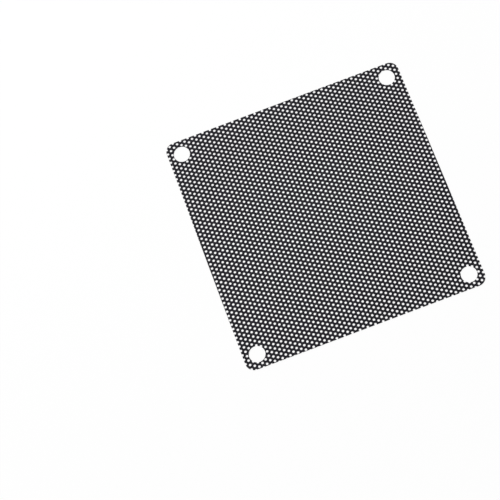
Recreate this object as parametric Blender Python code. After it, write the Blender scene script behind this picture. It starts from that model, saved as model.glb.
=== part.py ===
"""Perforated PVC dust filter for an 80 mm fan: one square punched sheet with a screw hole in each corner.

Run with: blender --background --python part.py

Metres, +Z up. The sheet lies flat on the XY plane, its four edges along X and Y. The origin is the middle of its
lower face, the face that lies against the fan.
"""

import math

import bmesh
import bpy
from mathutils import Matrix, Vector

# Driving dimensions
SCREW_SPACING = 0.0715  # between the centres of neighbouring screw holes, as on every 80 mm fan
EDGE_MARGIN = 0.00465  # from a screw hole's centre out to the sheet's edge
SCREW_HOLE_DIAMETER = 0.0053
CORNER_RADIUS = 0.003
THICKNESS = 0.0003

# The perforation: a triangular grid of six-sided holes whose rows run along Y
HOLE_PITCH = 0.0043
HOLE_ACROSS_CORNERS = 0.0026
GRID_TURN = math.radians(-0.84)  # the punched rows aren't quite square to the cut edges
LEAST_WEB = 0.001  # the narrowest bridge between a perforation and an edge or a screw hole

# Facets
CORNER_SEGMENTS = 8
SCREW_HOLE_SIDES = 32
PERFORATION_SIDES = 6

SIDE = SCREW_SPACING + 2 * EDGE_MARGIN
SCREW_HOLE_CENTRES = [
    Vector((x * SCREW_SPACING / 2, y * SCREW_SPACING / 2))
    for x in (-1, 1)
    for y in (-1, 1)
]
CUTTER_OVERSHOOT = THICKNESS  # how far a cutter stands out of each face


def clear_scene():
    for obj in list(bpy.data.objects):
        bpy.data.objects.remove(obj)


def pvc_material():
    """Matt black PVC, a little blue in the light."""
    material = bpy.data.materials.new("black_pvc")
    material.use_nodes = True
    shader = material.node_tree.nodes["Principled BSDF"]
    shader.inputs["Base Color"].default_value = (0.018, 0.017, 0.021, 1)
    shader.inputs["Roughness"].default_value = 0.55
    shader.inputs["Metallic"].default_value = 0.0
    return material


def object_from(bm, name):
    mesh = bpy.data.meshes.new(name)
    bm.to_mesh(mesh)
    bm.free()
    obj = bpy.data.objects.new(name, mesh)
    bpy.context.scene.collection.objects.link(obj)
    return obj


def sheet_blank():
    """The square blank with its rounded corners, before anything is punched out of it."""
    bm = bmesh.new()
    bmesh.ops.create_grid(bm, x_segments=1, y_segments=1, size=SIDE / 2)
    bmesh.ops.bevel(
        bm,
        geom=bm.verts[:],
        offset=CORNER_RADIUS,
        segments=CORNER_SEGMENTS,
        profile=0.5,
        affect="VERTICES",
    )
    raised = bmesh.ops.extrude_face_region(bm, geom=bm.faces[:])
    top = [v for v in raised["geom"] if isinstance(v, bmesh.types.BMVert)]
    bmesh.ops.translate(bm, verts=top, vec=(0, 0, THICKNESS))
    bmesh.ops.recalc_face_normals(bm, faces=bm.faces[:])
    return object_from(bm, "mesh_sheet")


def prisms(name, centres, diameter, sides, turn):
    """One cutter object holding a prism that passes through the sheet at each centre."""
    height = THICKNESS + 2 * CUTTER_OVERSHOOT
    bm = bmesh.new()
    for centre in centres:
        place = Matrix.Translation((*centre, THICKNESS / 2)) @ Matrix.Rotation(turn, 4, "Z")
        bmesh.ops.create_cone(
            bm,
            cap_ends=True,
            segments=sides,
            radius1=diameter / 2,
            radius2=diameter / 2,
            depth=height,
            matrix=place,
        )
    cutter = object_from(bm, name)
    cutter.hide_render = True
    cutter.display_type = "WIRE"
    return cutter


def distance_inside(point):
    """How far a point of the sheet lies inside its rounded outline, negative outside it."""
    straight = SIDE / 2 - CORNER_RADIUS
    past = Vector((max(abs(point.x) - straight, 0), max(abs(point.y) - straight, 0)))
    if past.x > 0 and past.y > 0:
        return CORNER_RADIUS - past.length
    return SIDE / 2 - max(abs(point.x), abs(point.y))


def perforation_centres():
    """The points of the turned grid whose holes leave the least web to every edge and screw hole.

    The sheet's middle lies between two columns and a quarter pitch from their holes, so opposite edges look alike.
    """
    reach = math.ceil(SIDE / HOLE_PITCH)
    to_edge = HOLE_ACROSS_CORNERS / 2 + LEAST_WEB
    to_screw_hole = to_edge + SCREW_HOLE_DIAMETER / 2
    turn = Matrix.Rotation(GRID_TURN, 2)
    centres = []
    for column in range(-reach, reach):
        x = (column + 0.5) * HOLE_PITCH * math.sqrt(3) / 2
        for row in range(-reach, reach + 1):
            y = (row + 0.25 + (column % 2) / 2) * HOLE_PITCH
            point = turn @ Vector((x, y))
            clear = all((point - hole).length >= to_screw_hole for hole in SCREW_HOLE_CENTRES)
            if clear and distance_inside(point) >= to_edge:
                centres.append(point)
    return centres


def punch(sheet, cutter):
    cut = sheet.modifiers.new(cutter.name, "BOOLEAN")
    cut.operation = "DIFFERENCE"
    cut.solver = "EXACT"
    cut.object = cutter


clear_scene()
sheet = sheet_blank()
sheet.data.materials.append(pvc_material())
punch(
    sheet,
    prisms("screw_hole_cutter", SCREW_HOLE_CENTRES, SCREW_HOLE_DIAMETER, SCREW_HOLE_SIDES, 0),
)
punch(
    sheet,
    prisms(
        "perforation_cutter", perforation_centres(), HOLE_ACROSS_CORNERS, PERFORATION_SIDES, GRID_TURN
    ),
)
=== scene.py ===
import math

import bmesh
import bpy
from mathutils import Matrix, Quaternion, Vector


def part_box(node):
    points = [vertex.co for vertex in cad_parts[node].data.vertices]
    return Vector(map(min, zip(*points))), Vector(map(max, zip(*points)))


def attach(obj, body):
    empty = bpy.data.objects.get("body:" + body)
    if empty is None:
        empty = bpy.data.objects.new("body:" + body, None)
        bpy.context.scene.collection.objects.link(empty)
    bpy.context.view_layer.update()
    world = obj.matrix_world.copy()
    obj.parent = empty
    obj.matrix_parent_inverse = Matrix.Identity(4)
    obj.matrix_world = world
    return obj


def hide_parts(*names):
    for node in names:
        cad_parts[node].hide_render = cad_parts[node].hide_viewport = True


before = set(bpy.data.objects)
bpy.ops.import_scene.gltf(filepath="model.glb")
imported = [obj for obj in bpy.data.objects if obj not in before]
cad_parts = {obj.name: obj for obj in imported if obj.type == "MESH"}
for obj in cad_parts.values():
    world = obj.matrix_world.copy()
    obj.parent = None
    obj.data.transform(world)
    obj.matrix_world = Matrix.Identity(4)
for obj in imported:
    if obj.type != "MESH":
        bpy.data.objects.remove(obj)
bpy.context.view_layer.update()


# Camera
# It looks down on the lying sheet from in front of it, a little left of its middle, and is rolled as a
# hand-held camera is. The sheet fills the right of the frame.
CAMERA_PLACE = Vector((-0.03703, -0.1669, 0.5544))
CAMERA_AIM = Vector((-0.02615, -0.00293, 0.0003))
CAMERA_ROLL = math.radians(-16.96)
SENSOR_WIDTH = 36.0
LENS = 129.95
NEAREST_SEEN = 0.01
FARTHEST_SEEN = 20.0

camera = bpy.data.objects.new("camera", bpy.data.cameras.new("camera"))
camera.data.sensor_width = SENSOR_WIDTH
camera.data.lens = LENS
camera.data.clip_start = NEAREST_SEEN
camera.data.clip_end = FARTHEST_SEEN
look = (CAMERA_AIM - CAMERA_PLACE).to_track_quat("-Z", "Y")
camera.rotation_mode = "QUATERNION"
camera.rotation_quaternion = look @ Quaternion((0, 0, 1), CAMERA_ROLL)
camera.location = CAMERA_PLACE
bpy.context.scene.collection.objects.link(camera)
bpy.context.scene.camera = camera


# Perforated sheet
# A thin black PVC film, punched all over with small round holes and then die-cut to a rounded square with
# four larger screw holes. The die cuts straight through the perforation, so every cut edge is scalloped.
MM = 0.001
CORNER_RADIUS = 3.0 * MM
CORNER_SEGMENTS = 8
SCREW_SPACING = 71.5 * MM
SCREW_HOLE_DIAMETER = 5.3 * MM
SCREW_HOLE_SIDES = 32
HOLE_DIAMETER = 0.80 * MM
HOLE_SIDES = 12
HOLE_PITCH = 1.5115 * MM  # from hole to hole up a column
COLUMN_SPACING = 1.2972 * MM
COLUMN_TURN = math.radians(-1.21)  # the columns lean to the right of the sheet's Y
CROSS_TURN = math.radians(-0.55)  # and step along a line that falls to the right of its X
GRID_ORIGIN = Vector((-0.60, -0.06)) * MM  # the hole nearest the sheet's middle
LEAST_EDGE = 0.008 * MM  # corners nearer to each other than this are merged
LEAST_FACE_NORMAL = 0.5  # the upright part of a face's normal is more than this, and a cut wall's is less
SHARP_EDGE = math.radians(40)  # faces and walls meet at more than this, the sides of one hole at less
MAP_SQUARE = 0.985  # the share of the map's width that the two faces take
MAP_STRIP = 0.008  # and the share that the cut walls take

sheet_low, sheet_high = (Vector(corner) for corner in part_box("mesh_sheet"))
side = sheet_high.x - sheet_low.x
thickness = sheet_high.z - sheet_low.z
up_column = Vector((-math.sin(COLUMN_TURN), math.cos(COLUMN_TURN))) * HOLE_PITCH
across = Vector((math.cos(CROSS_TURN), math.sin(CROSS_TURN))) * COLUMN_SPACING


def hole_centres():
    """Every punched hole whose rim reaches the sheet. Every other column stands half a pitch higher."""
    reach = side / 2 + HOLE_DIAMETER / 2
    columns = math.ceil(reach / COLUMN_SPACING) + 2
    rows = math.ceil(reach / HOLE_PITCH) + 2
    for column in range(-columns, columns + 1):
        for row in range(-rows, rows + 1):
            centre = GRID_ORIGIN + across * column + up_column * (row + column % 2 / 2)
            if max(abs(centre.x), abs(centre.y)) < reach:
                yield centre


def screw_hole_centres():
    for x in (-1, 1):
        for y in (-1, 1):
            yield Vector((x, y)) * SCREW_SPACING / 2


def raised(bm, name, bottom, height):
    """An object of the flat outlines in bm, pulled up from the bottom's level into solids of that height."""
    bmesh.ops.translate(bm, verts=bm.verts[:], vec=(0, 0, bottom))
    pulled = bmesh.ops.extrude_face_region(bm, geom=bm.faces[:])
    top = [part for part in pulled["geom"] if isinstance(part, bmesh.types.BMVert)]
    bmesh.ops.translate(bm, verts=top, vec=(0, 0, height))
    bmesh.ops.recalc_face_normals(bm, faces=bm.faces[:])
    mesh = bpy.data.meshes.new(name)
    bm.to_mesh(mesh)
    bm.free()
    obj = bpy.data.objects.new(name, mesh)
    bpy.context.scene.collection.objects.link(obj)
    return obj


def blank():
    """The rounded square before anything is punched out of it."""
    bm = bmesh.new()
    bmesh.ops.create_grid(bm, x_segments=1, y_segments=1, size=side / 2)
    bmesh.ops.bevel(bm, geom=bm.verts[:], offset=CORNER_RADIUS, segments=CORNER_SEGMENTS,
                    profile=0.5, affect="VERTICES", material=-1)
    return raised(bm, "perforated_sheet", sheet_low.z, thickness)


def punches(name, centres, diameter, sides):
    """Punches that stand out of both faces, each with the area of a true circle of that diameter."""
    corner_radius = diameter / 2 * math.sqrt(2 * math.pi / (sides * math.sin(2 * math.pi / sides)))
    bm = bmesh.new()
    for centre in centres:
        bmesh.ops.create_circle(bm, cap_ends=True, segments=sides, radius=corner_radius,
                                matrix=Matrix.Translation((*centre, 0)))
    return raised(bm, name, sheet_low.z - thickness, 3 * thickness)


def punched(sheet, *cutters):
    """A mesh of the sheet with the cutters' shapes cut out of it. The cutters are removed."""
    for cutter in cutters:
        cut = sheet.modifiers.new(cutter.name, "BOOLEAN")
        cut.operation = "DIFFERENCE"
        cut.solver = "MANIFOLD"
        cut.object = cutter
    bpy.context.view_layer.update()
    bm = bmesh.new()
    bm.from_object(sheet, bpy.context.evaluated_depsgraph_get())
    sheet.modifiers.clear()
    for cutter in cutters:
        bpy.data.objects.remove(cutter)
    return bm


def lies_flat(face):
    return abs(face.normal.z) > LEAST_FACE_NORMAL


def make_triangles_even(bm):
    """Merges the specks where cuts cross, and splits both faces into triangles that are as compact as the
    holes allow."""
    bmesh.ops.remove_doubles(bm, verts=bm.verts[:], dist=LEAST_EDGE)
    bmesh.ops.triangulate(bm, faces=bm.faces[:])
    bm.normal_update()
    inner = [edge for edge in bm.edges if all(lies_flat(face) for face in edge.link_faces)]
    flat = [face for face in bm.faces if lies_flat(face)]
    bmesh.ops.beautify_fill(bm, faces=flat, edges=inner, method="AREA")
    bm.normal_update()


def lay_out_map(bm):
    """The map that the finish is baked on. Both faces share one square of it, and the cut walls share a strip
    along its right side."""
    on_map = bm.loops.layers.uv.new("OFBake")
    for face in bm.faces:
        runs_along_y = abs(face.normal.x) > abs(face.normal.y)
        for corner in face.loops:
            x, y, z = corner.vert.co - sheet_low
            if lies_flat(face):
                place = Vector((x, y)) / side * MAP_SQUARE
            else:
                along = y if runs_along_y else x
                place = Vector((1 - z / thickness * MAP_STRIP, along / side * MAP_SQUARE))
            corner[on_map].uv = place


sheet = blank()
sheet_bm = punched(
    sheet,
    punches("perforation", hole_centres(), HOLE_DIAMETER, HOLE_SIDES),
    punches("screw_holes", screw_hole_centres(), SCREW_HOLE_DIAMETER, SCREW_HOLE_SIDES),
)
make_triangles_even(sheet_bm)
lay_out_map(sheet_bm)
sheet_bm.to_mesh(sheet.data)
sheet_bm.free()
sheet.data.shade_smooth()
sheet.data.set_sharp_from_angle(angle=SHARP_EDGE)


class Wire:
    """One output of a shader node. Arithmetic on it adds Math nodes to the same material."""

    def __init__(self, tree, output=None):
        self.tree = tree
        self.output = output

    def add(self, kind, settings=None, sockets=None, output=0):
        """A new node with its settings and its sockets' values or links, as the wire of one output."""
        node = self.tree.nodes.new(kind)
        for name, value in (settings or {}).items():
            setattr(node, name, value)
        for name, value in (sockets or {}).items():
            if isinstance(value, Wire):
                self.tree.links.new(value.output, node.inputs[name])
            else:
                node.inputs[name].default_value = value
        return Wire(self.tree, node.outputs[output]) if node.outputs else None

    def math(self, operation, a, b=0.0):
        return self.add("ShaderNodeMath", {"operation": operation}, {0: a, 1: b})

    def __add__(self, other):
        return self.math("ADD", self, other)

    def __radd__(self, other):
        return self.math("ADD", other, self)

    def __sub__(self, other):
        return self.math("SUBTRACT", self, other)

    def __rsub__(self, other):
        return self.math("SUBTRACT", other, self)

    def __mul__(self, other):
        return self.math("MULTIPLY", self, other)

    def __rmul__(self, other):
        return self.math("MULTIPLY", other, self)

    def __abs__(self):
        return self.math("ABSOLUTE", self)

    def at_least(self, other):
        return self.math("MAXIMUM", self, other)

    def at_most(self, other):
        return self.math("MINIMUM", self, other)

    def from_nearest_whole(self):
        """How far the value lies from the whole number nearest to it."""
        return self.math("FRACT", self + 0.5) - 0.5

    def fading(self, start, end):
        """1 up to start, falling smoothly to 0 at end."""
        return self.add("ShaderNodeMapRange", {"interpolation_type": "SMOOTHSTEP"},
                        {"Value": self, "From Min": start, "From Max": end, "To Min": 1.0, "To Max": 0.0})


def length(x, y):
    return x.math("POWER", x * x + y * y, 0.5)


def shade_of(colour, share=1.0):
    return (*(share * part for part in colour), 1)


# The film's finish, with its sizes in millimetres: a fine calendered grain, slow waves left from the roll,
# and the burnished, slightly rolled lip that a punch or a die leaves along all it cuts. The walls of the cuts
# are rougher, and their deeper black is painted shade that stands for the shade down inside the holes.
FILM_COLOUR = (0.0138, 0.0129, 0.0180)
FILM_ROUGHNESS = 0.54
FILM_REFLECTION = 0.12
# painted shade: the cut walls are coloured darker than the film, for the shade inside the holes
CUT_WALL_PAINTED_SHADE = (0.0080, 0.0076, 0.0100)
CUT_ROUGHNESS = 0.72
LIP_WIDTH = 0.13
LIP_DROP = 0.034
LIP_POLISH = 0.12  # how much less rough the lip is
GRAIN_SIZE = 0.13
GRAIN_HEIGHT = 0.012
GRAIN_ROUGHNESS = 0.16
WAVE_SIZE = 24.0
WAVE_HEIGHT = 0.22
CLOUD_SIZE = 6.0
CLOUD_ROUGHNESS = 0.10
CLOUD_SPREAD = 0.10  # how much the colour differs between clouds
CLOUD_LOW = 0.3  # the noise below this is one shade of the film
CLOUD_HIGH = 0.7  # and above this the other
WALL_NORMAL = 0.3  # where the normal's Z is less than this is a cut wall
FACE_NORMAL = 0.7  # and where it is more than this is a face


def film_material():
    material = bpy.data.materials.new("black_pvc_film")
    material.use_nodes = True
    tree = material.node_tree
    shader = tree.nodes["Principled BSDF"]
    make = Wire(tree)
    place = make.add("ShaderNodeTexCoord", output="Object")
    place_mm = make.add("ShaderNodeVectorMath", {"operation": "SCALE"}, {0: place, "Scale": 1 / MM})
    x = make.add("ShaderNodeSeparateXYZ", sockets={0: place_mm}, output="X")
    y = make.add("ShaderNodeSeparateXYZ", sockets={0: place_mm}, output="Y")

    # distance from the rim of the nearest punched hole
    step_up = up_column / MM
    step_across = across / MM - step_up / 2
    origin = GRID_ORIGIN / MM
    det = step_across.x * step_up.y - step_across.y * step_up.x
    from_origin_x = x - origin.x
    from_origin_y = y - origin.y
    columns = from_origin_x * (step_up.y / det) - from_origin_y * (step_up.x / det)
    rows = from_origin_y * (step_across.x / det) - from_origin_x * (step_across.y / det)
    column_part = columns.from_nearest_whole()
    row_part = rows.from_nearest_whole()
    from_hole = length(column_part * step_across.x + row_part * step_up.x,
                       column_part * step_across.y + row_part * step_up.y)
    to_hole_rim = from_hole - HOLE_DIAMETER / 2 / MM

    # distance from the rim of the nearest screw hole, and from the cut outline
    half_spacing = SCREW_SPACING / 2 / MM
    to_screw_rim = length(abs(x) - half_spacing, abs(y) - half_spacing) - SCREW_HOLE_DIAMETER / 2 / MM
    straight = (side / 2 - CORNER_RADIUS) / MM
    past_x = abs(x) - straight
    past_y = abs(y) - straight
    round_part = length(past_x.at_least(0.0), past_y.at_least(0.0))
    flat_part = past_x.at_least(past_y).at_most(0.0)
    to_outline = CORNER_RADIUS / MM - round_part - flat_part
    lip = to_hole_rim.at_most(to_screw_rim).at_most(to_outline).fading(0.0, LIP_WIDTH)

    # the cut walls stand upright, and both faces lie flat
    normal = make.add("ShaderNodeTexCoord", output="Normal")
    upright_part = make.add("ShaderNodeSeparateXYZ", sockets={0: normal}, output="Z")
    wall = abs(upright_part).fading(WALL_NORMAL, FACE_NORMAL)

    def noise(size, detail, rough=0.5):
        return make.add("ShaderNodeTexNoise", {"noise_dimensions": "3D"},
                        {"Vector": place_mm, "Scale": 1 / size, "Detail": detail, "Roughness": rough})

    grain = noise(GRAIN_SIZE, detail=2.0, rough=0.6)
    waves = noise(WAVE_SIZE, detail=1.0)
    cloud = noise(CLOUD_SIZE, detail=3.0, rough=0.6)

    film = make.add("ShaderNodeMix", {"data_type": "RGBA"},
                    {"Factor": cloud.fading(CLOUD_LOW, CLOUD_HIGH),
                     "A": shade_of(FILM_COLOUR, 1 + CLOUD_SPREAD),
                     "B": shade_of(FILM_COLOUR, 1 - CLOUD_SPREAD)},
                    output="Result")
    # the cut walls take the painted shade of the holes
    colour = make.add("ShaderNodeMix", {"data_type": "RGBA"},
                      {"Factor": wall, "A": film, "B": shade_of(CUT_WALL_PAINTED_SHADE)}, output="Result")
    film_roughness = FILM_ROUGHNESS + cloud * CLOUD_ROUGHNESS + grain * GRAIN_ROUGHNESS - lip * LIP_POLISH
    roughness = film_roughness * (1 - wall) + CUT_ROUGHNESS * wall
    height = (grain * GRAIN_HEIGHT - lip * LIP_DROP) * MM + waves * (WAVE_HEIGHT * MM)
    bump = make.add("ShaderNodeBump", sockets={"Strength": 1.0, "Distance": 1.0, "Height": height})
    tree.links.new(colour.output, shader.inputs["Base Color"])
    tree.links.new(roughness.output, shader.inputs["Roughness"])
    tree.links.new(bump.output, shader.inputs["Normal"])
    shader.inputs["Specular IOR Level"].default_value = FILM_REFLECTION
    return material


sheet.data.materials.clear()
sheet.data.materials.append(film_material())
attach(sheet, "root")
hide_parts("mesh_sheet")


# Floor and light
# The sheet lies on a plain white table in a bright room: a pale surround with one broad soft lamp beyond its
# far edge and a weaker one at its left. The camera sees the table and what is beyond it as white.
FLOOR_SIZE = 6.0
FLOOR_GAP = 0.00002  # keeps the table just clear of the sheet's under side
FLOOR_COLOUR = (0.93, 0.93, 0.93, 1)
WHITE = (1, 1, 1, 1)
CAMERA_WHITE = 0.93  # the share of plain white in what the camera sees of the table
ROOM_LEVEL = 0.45

floor_bm = bmesh.new()
bmesh.ops.create_grid(floor_bm, x_segments=1, y_segments=1, size=FLOOR_SIZE / 2,
                      matrix=Matrix.Translation((0, 0, sheet_low.z - FLOOR_GAP)))
floor_mesh = bpy.data.meshes.new("floor")
floor_bm.to_mesh(floor_mesh)
floor_bm.free()
floor = bpy.data.objects.new("floor", floor_mesh)
bpy.context.scene.collection.objects.link(floor)

table_white = bpy.data.materials.new("table_white")
table_white.use_nodes = True
table_white.node_tree.nodes.clear()
make = Wire(table_white.node_tree)
seen = make.add("ShaderNodeLightPath", output="Is Camera Ray")
glow = make.add("ShaderNodeEmission", sockets={"Color": WHITE, "Strength": 1.0})
matt = make.add("ShaderNodeBsdfDiffuse", sockets={"Color": FLOOR_COLOUR})
mixed = make.add("ShaderNodeMixShader", sockets={0: seen * CAMERA_WHITE, 1: matt, 2: glow})
make.add("ShaderNodeOutputMaterial", sockets={"Surface": mixed})
floor.data.materials.append(table_white)

world = bpy.data.worlds.new("room")
bpy.context.scene.world = world
world.use_nodes = True
world.node_tree.nodes.clear()
make = Wire(world.node_tree)
seen = make.add("ShaderNodeLightPath", output="Is Camera Ray")
level = seen * (1 - ROOM_LEVEL) + ROOM_LEVEL
room = make.add("ShaderNodeBackground", sockets={"Color": WHITE, "Strength": level})
make.add("ShaderNodeOutputWorld", sockets={"Surface": room})


def soft_lamp(name, place, size, power):
    """A round area lamp that faces the sheet's middle."""
    lamp = bpy.data.objects.new(name, bpy.data.lights.new(name, "AREA"))
    lamp.data.shape = "DISK"
    lamp.data.size = size
    lamp.data.energy = power
    lamp.location = place
    lamp.rotation_euler = (-Vector(place)).to_track_quat("-Z", "Y").to_euler()
    bpy.context.scene.collection.objects.link(lamp)


soft_lamp("key_lamp", place=(-0.12, 0.45, 0.42), size=0.25, power=2.5)
soft_lamp("fill_lamp", place=(-0.60, -0.15, 0.50), size=0.5, power=1.2)

bpy.context.scene.view_settings.view_transform = "Standard"
